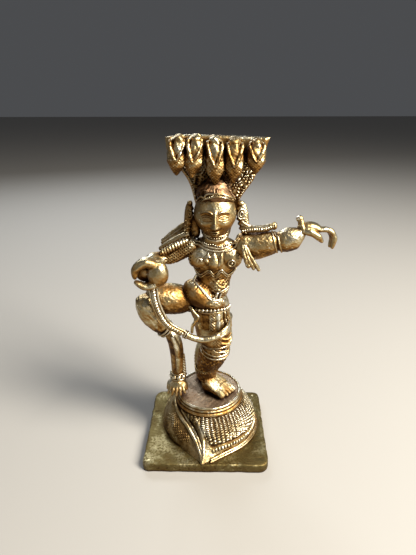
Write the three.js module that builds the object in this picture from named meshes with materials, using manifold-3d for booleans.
// A brass temple figurine of a dancer on a serpent: a square plate, a scaled mound that the serpent's
// body makes, a round step, the dancer, and a fan of five serpent heads over the dancer's crown.
// Millimetres, +Z up, the figure faces -Y. The origin is the middle of the plate's underside.
// "left" and "right" are the figure's own, so its right hand is on the -X side.

import * as THREE from "three";
import { mergeVertices } from "three/addons/utils/BufferGeometryUtils.js";
import Module from "manifold-3d";

const wasm = await Module();
wasm.setup();

// ---------------------------------------------------------------- driving dimensions
const PLATE = { width: 41, depth: 37, thickness: 3.2, corner: 2.6 };
const GAP = 0.25; // clearance that a piece keeps to the pieces it is seated on
const AXIS = { x: 0.9, y: 2.6 }; // middle of the mound and of the step
const MOUND = { top: 13.9, baseRadius: 16.3, topRadius: 11.2, tipReach: 20.8, backRadius: 15.3 };
const STEP = { ringTop: 15.4, ringRadius: 11.7, floor: 16.8, radius: 10.3, lipRadius: 10.85, lip: 0.42 };
const CREASE = { front: -5, slant: -15, hook: -55, width: 38 }; // degrees: the fold between the two lobes
const HEAD = { centre: [2.8, 0, 80.2], radii: [6.2, 6, 6.9] };
const FAN = { back: 4.4, front: 2.4, foot: 70, top: 102.2 };
const BRASS = { color: 0xc9a55a, roughness: 0.34, metalness: 1 };

const v = (x, y, z) => new THREE.Vector3(x, y, z);
const mix = (a, b, t) => a + (b - a) * t;
const smooth = (t) => {
  const c = Math.min(1, Math.max(0, t));
  return c * c * (3 - 2 * c);
};
const radians = THREE.MathUtils.degToRad;

// ---------------------------------------------------------------- geometry to solids
// Moves every vertex of a three.js geometry with the given function.
function remap(geometry, move) {
  const position = geometry.getAttribute("position");
  const p = v(0, 0, 0);
  for (let i = 0; i < position.count; i++) {
    p.fromBufferAttribute(position, i);
    move(p);
    position.setXYZ(i, p.x, p.y, p.z);
  }
  return geometry;
}

// A closed three.js geometry as a solid, facing out.
function solid(geometry) {
  const bare = geometry.index ? geometry.toNonIndexed() : geometry.clone();
  bare.deleteAttribute("normal");
  bare.deleteAttribute("uv");
  const merged = mergeVertices(bare, 1e-4);
  const index = merged.index.array;
  const kept = [];
  for (let i = 0; i < index.length; i += 3) {
    const [a, b, c] = [index[i], index[i + 1], index[i + 2]];
    if (a !== b && b !== c && c !== a) kept.push(a, b, c);
  }
  const facing = (list) =>
    new wasm.Manifold(
      new wasm.Mesh({
        numProp: 3,
        vertProperties: merged.attributes.position.array,
        triVerts: new Uint32Array(list),
      }),
    );
  const made = facing(kept);
  if (made.volume() > 0) return made;
  const turned = [];
  for (let i = 0; i < kept.length; i += 3) turned.push(kept[i], kept[i + 2], kept[i + 1]);
  return facing(turned);
}

const joined = (...solids) => solids.reduce((all, next) => all.add(next));

function geometryOf(body) {
  const mesh = body.getMesh();
  const points = new Float32Array(mesh.numVert * 3);
  for (let i = 0; i < mesh.numVert; i++) {
    const from = i * mesh.numProp;
    points.set(mesh.vertProperties.subarray(from, from + 3), i * 3);
  }
  return new THREE.BufferGeometry()
    .setAttribute("position", new THREE.BufferAttribute(points, 3))
    .setIndex(new THREE.BufferAttribute(mesh.triVerts, 1));
}

// ---------------------------------------------------------------- shapes, each with a "grow" allowance
function ball(centre, radii, grow = 0, detail = [10, 7]) {
  const [rx, ry, rz] = radii.map((r) => r + grow);
  return solid(new THREE.SphereGeometry(1, ...detail).scale(rx, ry, rz).translate(...centre));
}

// A rounded limb along a smooth curve through the points. Each radius is a number or [across, deep];
// "face" is the direction that "deep" is measured in.
function limb(points, radii, grow = 0, { face = v(0, 1, 0), sides = 10, rings = 7, blunt = 4 } = {}) {
  const path = points.map((p) => v(...p));
  const curve = path.length > 2
    ? new THREE.CatmullRomCurve3(path, false, "centripetal")
    : new THREE.LineCurve3(...path);
  const pair = (r) => (Array.isArray(r) ? r : [r, r]);
  const reach = curve.getLength() + 2 * grow;
  const geometry = new THREE.SphereGeometry(1, sides, rings);
  return solid(
    remap(geometry, (p) => {
      const along = (1 - p.y) / 2; // 0 at the first point, 1 at the last
      const spread = Math.hypot(p.x, p.z) || 1;
      const round = spread < 1e-6 ? 0 : (1 - Math.abs(p.y) ** blunt) ** (1 / blunt);
      const inside = (along * reach - grow) / (reach - 2 * grow);
      const t = Math.min(1, Math.max(0, inside));
      const tangent = curve.getTangent(t);
      const across = v(0, 0, 0).crossVectors(tangent, face).normalize();
      const deep = v(0, 0, 0).crossVectors(across, tangent).normalize();
      const at = t * (radii.length - 1);
      const i = Math.min(radii.length - 2, Math.floor(at));
      const [a, b] = [pair(radii[i]), pair(radii[i + 1])];
      const share = smooth(at - i);
      const wide = (mix(a[0], b[0], share) + grow) * round;
      const thick = (mix(a[1], b[1], share) + grow) * round;
      const place = curve.getPoint(t).addScaledVector(tangent, (inside - t) * reach);
      const cx = spread < 1e-6 ? 0 : p.x / spread;
      const cz = spread < 1e-6 ? 0 : p.z / spread;
      p.copy(place).addScaledVector(across, cx * wide).addScaledVector(deep, cz * thick);
    }),
  );
}

// A solid of revolution about a vertical axis; the profile is [radius, height] pairs.
function turned(profile, [x, y], segments = 28) {
  const points = profile.map(([r, z]) => new THREE.Vector2(r, z));
  return solid(new THREE.LatheGeometry(points, segments).rotateX(Math.PI / 2).translate(x, y, 0));
}

// A ring round a limb: an oval of the two radii, square to the axis, with a round section.
function ring(centre, axis, radii, tube, grow = 0, sides = 16) {
  const [a, b] = radii;
  const geometry = remap(new THREE.TorusGeometry(1, 0.5, 5, sides), (p) => {
    const turn = Math.atan2(p.y, p.x);
    const out = (Math.hypot(p.x, p.y) - 1) * 2 * (tube + grow);
    p.set(Math.cos(turn) * (a + out), Math.sin(turn) * (b + out), p.z * 2 * (tube + grow));
  });
  const upright = new THREE.Quaternion().setFromUnitVectors(v(0, 0, 1), v(...axis).normalize());
  return solid(geometry.applyQuaternion(upright).translate(...centre));
}

const pearl = (centre, radius) => solid(new THREE.IcosahedronGeometry(radius, 0).translate(...centre));

// A cord along a curve with beads on it.
function beaded(points, cord, bead, count, grow = 0) {
  const curve = new THREE.CatmullRomCurve3(points.map((p) => v(...p)), false, "centripetal");
  let all = limb(points, [cord, cord], grow, { sides: 5, rings: 7, blunt: 8 });
  for (let i = 0; i < count; i++) {
    const p = curve.getPointAt((i + 0.5) / count);
    all = all.add(pearl(p.toArray(), bead + grow));
  }
  return all;
}

// ---------------------------------------------------------------- placing the pieces
const statue = new THREE.Group();
statue.name = "dancer_on_serpent";
const placed = [];

// Cuts a piece back from the pieces already placed and adds it. A piece that others stand on flat is
// kept as it is for their cut, and any other keeps GAP to what is seated on it later.
function place(name, make, { flat = false } = {}) {
  let body = make(0);
  const box = body.boundingBox();
  for (const other of placed) {
    const apart = [0, 1, 2].some((k) => box.min[k] > other.box.max[k] || box.max[k] < other.box.min[k]);
    if (!apart) body = body.subtract(other.cutter);
  }
  const whole = body.decompose().sort((a, b) => b.volume() - a.volume())[0];
  const cutter = flat ? whole : make(GAP);
  placed.push({ cutter, box: cutter.boundingBox() });
  const mesh = new THREE.Mesh(geometryOf(whole), new THREE.MeshStandardMaterial(BRASS));
  mesh.name = name;
  statue.add(mesh);
}

// ---------------------------------------------------------------- plate, mound and step
place("base_plate", () => {
  const [w, d, r] = [PLATE.width / 2, PLATE.depth / 2, PLATE.corner];
  const outline = new THREE.Shape();
  outline.absarc(w - r, -d + r, r, -Math.PI / 2, 0);
  outline.absarc(w - r, d - r, r, 0, Math.PI / 2);
  outline.absarc(-w + r, d - r, r, Math.PI / 2, Math.PI);
  outline.absarc(-w + r, -d + r, r, Math.PI, Math.PI * 1.5);
  const options = { depth: PLATE.thickness, bevelEnabled: false, curveSegments: 5 };
  return solid(new THREE.ExtrudeGeometry(outline, options));
}, { flat: true });

// The plan of the mound at the plate: round at the back and drawn out to a point at the front.
function baseRadius(turn) {
  const tangent = Math.acos(MOUND.baseRadius / MOUND.tipReach);
  const off = Math.abs(turn - radians(CREASE.front));
  if (off < tangent) return MOUND.baseRadius / Math.cos(tangent - off);
  return mix(MOUND.baseRadius, MOUND.backRadius, smooth((off - 1.6) / 1.2));
}

// The fold between the two lobes, as a turn from the front, at a height share of the mound.
const creaseTurn = (up) => radians(CREASE.front + CREASE.slant * up + CREASE.hook * up ** 5);

// A point of the mound's surface: "turn" from the front towards +X, "up" from 0 at the plate to 1.
function moundPoint(turn, up, out = 0) {
  const beside = smooth(Math.abs(turn - creaseTurn(up)) / radians(CREASE.width));
  const bulge = mix((1 - up) ** 1.5, 1 - up ** 2.6, beside);
  const r = mix(MOUND.topRadius, baseRadius(turn), bulge) + out;
  const z = mix(PLATE.thickness, MOUND.top, up);
  return v(AXIS.x + Math.sin(turn) * r, AXIS.y - Math.cos(turn) * r, z);
}

place("serpent_mound", () =>
  solid(
    remap(new THREE.CylinderGeometry(1, 1, 1, 36, 6), (p) => {
      const share = Math.hypot(p.x, p.z);
      const up = p.y + 0.5;
      const turn = Math.atan2(p.x, p.z) + creaseTurn(up);
      const rim = moundPoint(turn, up);
      p.set(mix(AXIS.x, rim.x, share), mix(AXIS.y, rim.y, share), rim.z);
    }),
  ), { flat: true });

place("mound_ring", () => {
  const [r, low, high] = [STEP.ringRadius, MOUND.top, STEP.ringTop];
  return turned([[0, low], [r - 0.5, low], [r, low + 0.75], [r - 0.5, high], [0, high]], [AXIS.x, AXIS.y]);
}, { flat: true });

place("dance_step", () => {
  const [r, low, high] = [STEP.radius, STEP.ringTop, STEP.floor];
  return turned([[0, low], [r, low], [r, high], [0, high]], [AXIS.x, AXIS.y]);
}, { flat: true });

place("step_lip", (grow = 0) => {
  const inner = STEP.radius + GAP / 2 - grow;
  const outer = STEP.lipRadius + STEP.lip + grow;
  const [low, high] = [STEP.ringTop, STEP.floor + STEP.lip + grow];
  return turned([[inner, low], [outer, low + 0.5], [outer, high - 0.4], [inner, high], [inner, low]],
    [AXIS.x, AXIS.y]);
});

// Two ridges run down the fold, from the step on the figure's right to the point at the front.
function foldRidge(offset, grow) {
  const points = [];
  for (let i = 0; i <= 6; i++) {
    const up = mix(0.93, 0.03, i / 6);
    points.push(moundPoint(creaseTurn(up) + radians(offset * (0.25 + 0.75 * up)), up, 0.25).toArray());
  }
  return limb(points, [0.65, 0.75, 0.7, 0.6], grow, { sides: 6, rings: 11, blunt: 8 });
}
place("fold_ridge_outer", (grow) => foldRidge(-6, grow));
place("fold_ridge_inner", (grow) => foldRidge(12, grow));

// The serpent's lower edge, a low lip on the plate round the figure's left side.
place("mound_border", (grow) => {
  const points = [];
  for (let i = 0; i <= 7; i++) {
    const rim = moundPoint(radians(mix(8, 86, i / 7)), 0, 0.75);
    points.push([rim.x, rim.y, PLATE.thickness + 0.3]);
  }
  return limb(points, [0.6, 0.75, 0.75, 0.6], grow, { face: v(0, 0, 1), sides: 8, rings: 16, blunt: 8 });
});

// ---------------------------------------------------------------- feet and lower legs
// A foot flat on the floor height, from heel to toes, with five toes.
function foot(heel, toe, width, floor, grow) {
  const [from, to] = [v(...heel), v(...toe)];
  const along = to.clone().sub(from).setZ(0).normalize();
  const across = v(-along.y, along.x, 0);
  const middle = from.clone().lerp(to, 0.5).setZ(heel[2] + 0.5);
  let all = limb([from.toArray(), middle.toArray(), to.toArray()],
    [[width * 0.74, 2.5], [width * 0.86, 2.5], [width, 1.5]], grow, { face: v(0, 0, 1), rings: 8, blunt: 5 });
  for (let i = 0; i < 5; i++) {
    const side = mix(-0.8, 0.8, i / 4) * width;
    const back = 0.4 + 1.3 * (side / width) ** 2;
    const root = to.clone().addScaledVector(across, side).addScaledVector(along, -back);
    const tip = root.clone().addScaledVector(along, 2.1 - 0.22 * i);
    root.z = floor + 1.1;
    tip.z = floor + 0.7;
    all = all.add(limb([root.toArray(), tip.toArray()], [0.85, 0.75], grow, { face: v(0, 0, 1), sides: 5, rings: 3 }));
  }
  const floorBox = new THREE.BoxGeometry(40, 40, 10).translate(0, 0, floor - 5);
  return all.subtract(solid(floorBox));
}
place("left_foot", (grow) => foot([-0.4, 3.9, 18.9], [7.4, -0.2, 18.3], 4.9, STEP.floor, grow), { flat: true });
place("right_foot", (grow) => foot([-9.8, 2.3, 19.4], [-9.9, -0.8, 18.9], 3.1, STEP.floor + 0.75, grow));

place("left_calf", (grow) =>
  limb([[4.3, -0.8, 37.5], [1.7, 1.2, 31], [0.2, 2.7, 25.5], [-0.1, 3.2, 20.6]],
    [[5.0, 5.0], [4.8, 4.7], [3.9, 3.9], [3.6, 3.5]], grow, { rings: 10 }));
place("right_shin", (grow) =>
  limb([[-11.9, -3.2, 43], [-10.4, -2.6, 40], [-9.6, -0.7, 34], [-9.6, 0.8, 26.5], [-9.7, 1.5, 21.2]],
    [2.5, 2.35, 2.3, 2.3, 2.3], grow, { rings: 10 }));
place("left_anklet", (grow) => ring([0.2, 2.7, 25.2], [-0.1, -0.1, 1], [4.1, 4.0], 0.55, grow));
place("right_anklet", (grow) => ring([-9.65, 1.2, 23.8], [0, 0, 1], [2.4, 2.4], 0.6, grow, 16));

// ---------------------------------------------------------------- trunk
place("torso", (grow) =>
  limb([[2.2, 1, 53.5], [2.7, 1, 58], [2.8, 0.7, 64.5], [3.1, 0.8, 73]],
    [[5.4, 4.3], [5.5, 4.3], [8.0, 5.1], [7.6, 4.2]], grow, { sides: 12, rings: 8 }));
place("pelvis", (grow) =>
  limb([[2.3, 1.1, 57], [1.9, 1.1, 52.5], [2.3, 1.1, 45]],
    [[5.2, 4.3], [7.0, 5.6], [6.6, 5.8]], grow, { sides: 12, rings: 7 }));
place("left_thigh", (grow) =>
  limb([[2.8, 1.2, 47.5], [2.9, 0.9, 43], [4.0, -0.6, 36.5]],
    [[6.5, 5.9], [6.4, 5.8], [5.5, 5.5]], grow, { sides: 12, rings: 7 }));
place("right_thigh", (grow) =>
  limb([[-1, 1.2, 51.6], [-9, -0.6, 53.4], [-17.9, -3.2, 54.9]],
    [[5.2, 5.0], [4.9, 4.7], [4.3, 4.2]], grow, { sides: 12, rings: 7 }));
place("right_knee_wrap", (grow) =>
  limb([[-18.5, -4.2, 56.2], [-17.5, -4.3, 50.6], [-14.9, -4.0, 46.6], [-12.3, -3.3, 44.2]],
    [[3.6, 3.6], [3.4, 3.4], [2.9, 3.0], [2.4, 2.6]], grow, { rings: 10 }));
place("right_hem_band", (grow) => ring([-12.5, -3.3, 44.3], [-0.72, -0.18, 0.75], [2.65, 2.75], 0.55, grow, 16));
place("left_hem_band", (grow) => ring([3.7, -0.4, 35.4], [0.12, -0.25, 1], [5.5, 5.4], 0.65, grow));
place("left_knee_band", (grow) => ring([3.9, -0.2, 38.3], [0.05, -0.2, 1], [5.95, 5.9], 0.6, grow));
place("waist_girdle", (grow) => {
  const count = 14;
  let all = ring([1.9, 0.9, 50.7], [-0.02, 0.1, 1], [7.25, 5.85], 0.5, grow, 18);
  for (let i = 0; i < count; i++) {
    const turn = (i / count) * 2 * Math.PI;
    const [x, y] = [1.9 + 7.35 * Math.cos(turn), 0.9 + 5.95 * Math.sin(turn)];
    all = all.add(pearl([x, y, 50.7 - (y - 0.9) * 0.1], 0.85 + grow));
  }
  return all;
});
place("dhoti_fold", (grow) =>
  limb([[-3.8, -3.6, 51.6], [-3.7, -4.7, 47.8], [-3.9, -4.6, 44], [-1.8, -5.8, 40.6]], [0.65, 0.6, 0.65, 0.6], grow,
    { sides: 6, rings: 8 }));

// ---------------------------------------------------------------- head, crown and jewels
place("neck", (grow) => limb([[3, 0.9, 71.5], [2.9, 0.6, 77]], [3.9, 3.6], grow, { rings: 6 }));
place("head", (grow) => ball(HEAD.centre, HEAD.radii, grow, [14, 9]));
place("crown_band", (grow) => ring([2.8, 0.3, 84.4], [0, -0.12, 1], [5.2, 5.0], 0.6, grow));
place("crown", (grow) => limb([[3.4, 0.3, 84.8], [3.9, 0, 89], [4.3, -0.2, 92.9]], [5.3, 3.9, 1.2], grow, { rings: 8 }));
place("necklace", (grow) => {
  const outer = ring([2.9, -0.5, 72.3], [0, -0.42, 1], [5.7, 5.1], 0.62, grow);
  return joined(outer, ring([2.9, -0.6, 73.3], [0, -0.42, 1], [4.9, 4.4], 0.62, grow));
});
function earJewel(side, grow) {
  const x = HEAD.centre[0] + side * 7.1;
  const disc = ball([x, 0.4, 79.6], [1.4, 1.7, 2.2], grow, [8, 6]);
  const top = ball([x - side * 0.1, 0.4, 82.6], [0.95, 0.95, 1.1], grow, [7, 5]);
  const drop = limb([[x, 0.2, 79], [x + side * 0.8, -0.2, 76.3], [x + side * 1.3, -0.4, 73.9]],
    [1.2, 1.0, 0.95], grow, { sides: 7, rings: 5 });
  return joined(disc, top, drop);
}
place("right_ear_jewel", (grow) => earJewel(-1, grow));
place("left_ear_jewel", (grow) => earJewel(1, grow));
place("chest_pendants", (grow) => {
  const bar = limb([[-0.9, -4.9, 67.4], [3.1, -5.4, 68.6], [6.9, -4.9, 67.4]], [[1.0, 0.95], [1.0, 0.95]], grow,
    { sides: 6, rings: 5, blunt: 8 });
  const drops = [[2.2, 62.6], [4.1, 63.2]].map(([x, low]) =>
    limb([[x, -5.3, 68.4], [x, -5.1, low]], [[0.95, 0.85], [1.35, 1.0]], grow, { sides: 6, rings: 5 }));
  return joined(bar, ...drops);
});

// ---------------------------------------------------------------- the figure's right arm
place("right_upper_arm", (grow) =>
  limb([[-3.4, 0.8, 71.2], [-8.2, 0.8, 68.6], [-12.9, 0.4, 66.3]], [[3.1, 3.0], [2.9, 2.8], [2.6, 2.6]], grow));
place("right_armlet", (grow) =>
  beaded([[-5.2, -2.2, 71.4], [-8.6, -2.3, 70.2], [-12.6, -2.3, 68.6]], 0.55, 0.95, 6, grow));
place("right_forearm", (grow) =>
  limb([[-13.3, 0.2, 66.6], [-15.4, -3.3, 67.5], [-16.6, -6, 67.6]], [2.4, 2.1, 1.9], grow, { face: v(0, 0, 1) }));
place("right_hand", (grow) => {
  const palm = ball([-13.5, -7.4, 64.7], [2.6, 2.5, 3.7], grow, [11, 7]);
  const face = v(0, 1, 0);
  const upper = limb([[-13.2, -7.2, 67], [-16.8, -7.9, 68.2], [-19.5, -8.4, 66.4], [-19.9, -8.6, 64.4]],
    [[1.6, 2.1], [1.5, 2.0], [1.2, 1.6]], grow, { face, sides: 8, rings: 7 });
  const lower = limb([[-14.3, -7.4, 62.4], [-17.2, -8.3, 61.6], [-20, -8.7, 62.6]],
    [[1.4, 1.9], [1.35, 1.8], [1.0, 1.4]], grow, { face, sides: 8, rings: 6 });
  return joined(palm, upper, lower);
});

// ---------------------------------------------------------------- the figure's left arm
place("left_upper_arm", (grow) =>
  limb([[9.0, 0.6, 71.0], [13.8, 0.2, 70.5], [20.4, -0.5, 71.9]], [[4.1, 3.5], [4.0, 3.4], [3.7, 3.3]], grow));
place("left_armlet", (grow) => ring([20.8, -0.5, 72.1], [1, -0.1, 0.3], [3.95, 3.65], 0.65, grow, 18));
place("left_forearm", (grow) =>
  limb([[20.6, -0.5, 72], [24.6, -0.7, 73.1], [28.2, -0.3, 74.6]], [[3.7, 3.2], [3.4, 3.0], [2.2, 2.2]], grow));
place("left_bangle", (grow) => {
  const band = ring([28.2, -0.2, 74.5], [1, 0, 0.42], [2.15, 2.1], 0.7, grow, 14);
  return band.add(limb([[27.4, -0.3, 76.2], [27.0, -0.3, 79.3]], [0.95, 1.1], grow, { sides: 8, rings: 5 }));
});
place("left_hand", (grow) => {
  const tiny = { sides: 6, rings: 5 };
  const palm = limb([[28.2, -0.1, 75.2], [31.2, 0, 76.1], [34, 0.2, 75.6]], [[2.0, 1.7], [1.8, 2.2], [1.3, 2.3]], grow);
  const thumb = limb([[28.8, -0.7, 76.6], [27.6, -0.6, 78.5]], [0.9, 0.85], grow, { sides: 8, rings: 5 });
  const front = limb([[32.4, -1.3, 75.4], [34.3, -1.7, 73.4], [34.8, -1.8, 71.2]], [1.0, 0.95, 0.75], grow, tiny);
  const others = [0, 1.35, 2.6].map((y, i) =>
    limb([[33.6, y, 75.9], [36.9 - 0.3 * i, y, 74.9], [37.6 - 0.4 * i, y, 72.4], [37 - 0.4 * i, y, 69.9 + 0.5 * i]],
      [0.95, 0.95, 0.9, 0.7], grow, tiny));
  return joined(palm, thumb, front, ...others);
});

// ---------------------------------------------------------------- scarf
place("right_scarf", (grow) => {
  const strands = [0, 1, 2].map((i) =>
    limb([[-4.2 + 0.6 * i, 3.0 - 0.9 * i, 79.4 - 2.6 * i], [-8.8, 2.9 - 0.9 * i, 75.4 - 1.7 * i],
      [-13.4 + 0.5 * i, 2.4 - 0.9 * i, 70.6 - 0.9 * i]], [[1.0, 0.9], [1.15, 1.0], [0.9, 0.8]], grow,
    { sides: 6, rings: 6 }));
  return joined(...strands);
});
place("left_scarf_cord", (grow) =>
  beaded([[10.8, -0.6, 75.6], [13.4, -0.8, 76.2], [16.6, -1, 76.4], [19.9, -1, 77.2]], 0.9, 1.15, 6, grow));
place("left_scarf_end", (grow) => {
  const strands = [0, 1, 2].map((i) =>
    limb([[11.3, -3.4, 71.8], [12.3 + 0.8 * i, -4.6, 68.6 - 0.2 * i], [12.7 + 1.5 * i, -4.9, 65.8 - 0.7 * i]],
      [0.9, 0.85, 0.8], grow, { sides: 6, rings: 5 }));
  return joined(...strands);
});

// ---------------------------------------------------------------- serpent hood
place("hood_fan", () => {
  const [mid, back, front] = [HEAD.centre[0] + 0.4, FAN.back, FAN.front];
  const outline = new THREE.Shape();
  outline.moveTo(mid - 3, FAN.foot);
  outline.lineTo(mid + 3, FAN.foot);
  outline.quadraticCurveTo(mid + 5.2, 78, mid + 6.8, 83.8);
  outline.quadraticCurveTo(mid + 11.6, 90, mid + 12.7, 95.5);
  outline.lineTo(mid + 14.8, FAN.top - 1.2);
  outline.lineTo(mid + 14.4, FAN.top - 0.6);
  outline.lineTo(mid - 9, FAN.top);
  outline.lineTo(mid - 14.4, FAN.top - 0.9);
  outline.lineTo(mid - 14, FAN.top - 4.6);
  outline.quadraticCurveTo(mid - 10.6, 94, mid - 9, 91);
  outline.quadraticCurveTo(mid - 7, 86, mid - 6.2, 82);
  outline.quadraticCurveTo(mid - 4.8, 77, mid - 3, FAN.foot);
  const options = { depth: back - front, bevelEnabled: false, curveSegments: 3 };
  return solid(new THREE.ExtrudeGeometry(outline, options).rotateX(Math.PI / 2).translate(0, back, 0));
});

// One serpent head: a pointed body that hangs forward, a round nose on top and the two gaping jaws.
function serpentHead({ x, top, tip }, grow) {
  const body = limb([[x, 0.9, top - 2.2], [mix(x, tip[0], 0.5), -1.6, mix(top, tip[1], 0.5)], [tip[0], -2.2, tip[1]]],
    [[2.1, 1.9], [2.5, 2.1], [0.6, 0.7]], grow, { sides: 9, rings: 7, blunt: 3 });
  const nose = limb([[x, 0.8, top - 2.6], [x, -1.6, top - 1.1]], [1.4, 1.2], grow, { sides: 7, rings: 4 });
  const meet = [mix(x, tip[0], 0.7), -3.95, mix(top, tip[1], 0.64)];
  const jaws = [-1, 1].map((side) =>
    limb([[x + side * 2.1, -1.3, top - 2.5], [x + side * 1.2, -3.3, mix(top, meet[2], 0.62)], meet], [0.55, 0.55, 0.5],
      grow, { sides: 5, rings: 5 }));
  return joined(body, nose, ...jaws);
}
const SERPENT_HEADS = [
  { x: -7.3, top: 102.3, tip: [-7.8, 91.4] },
  { x: -2.4, top: 102.5, tip: [-3.6, 90.8] },
  { x: 2.6, top: 102.3, tip: [3.0, 89.6] },
  { x: 8.1, top: 101.8, tip: [7.8, 89.4] },
  { x: 13.9, top: 101.2, tip: [13.5, 91.8] },
];
SERPENT_HEADS.forEach((head, i) => place(`serpent_head_${i + 1}`, (grow) => serpentHead(head, grow)));

// ---------------------------------------------------------------- serpent tail
place("tail_beaded", (grow) =>
  beaded([[-14.9, -7.9, 59.9], [-14.2, -8.4, 55.4], [-11.4, -8.0, 48.8], [-6.6, -7.5, 45.2]], 0.95, 1.2, 9, grow));
place("tail_band", (grow) =>
  limb([[-5.9, -7.4, 44.7], [-1.6, -7.3, 42.9], [3.0, -6.8, 43.4], [8.0, -4.2, 45.8], [9.8, 0, 46.9]],
    [1.0, 1.05, 1.1, 1.15, 1.1], grow, { sides: 8, rings: 11, blunt: 8 }));
place("tail_rise", (grow) =>
  limb([[9.9, 0.9, 46.6], [8.6, 5.4, 45], [3.4, 8.2, 40], [-1.4, 7.6, 31], [-1.8, 8.0, 22], [-1, 8.6, 17.2]],
    [1.2, 1.5, 1.9, 2.3, 2.5, 2.7], grow, { sides: 9, rings: 10, blunt: 8 }));

export default statue;
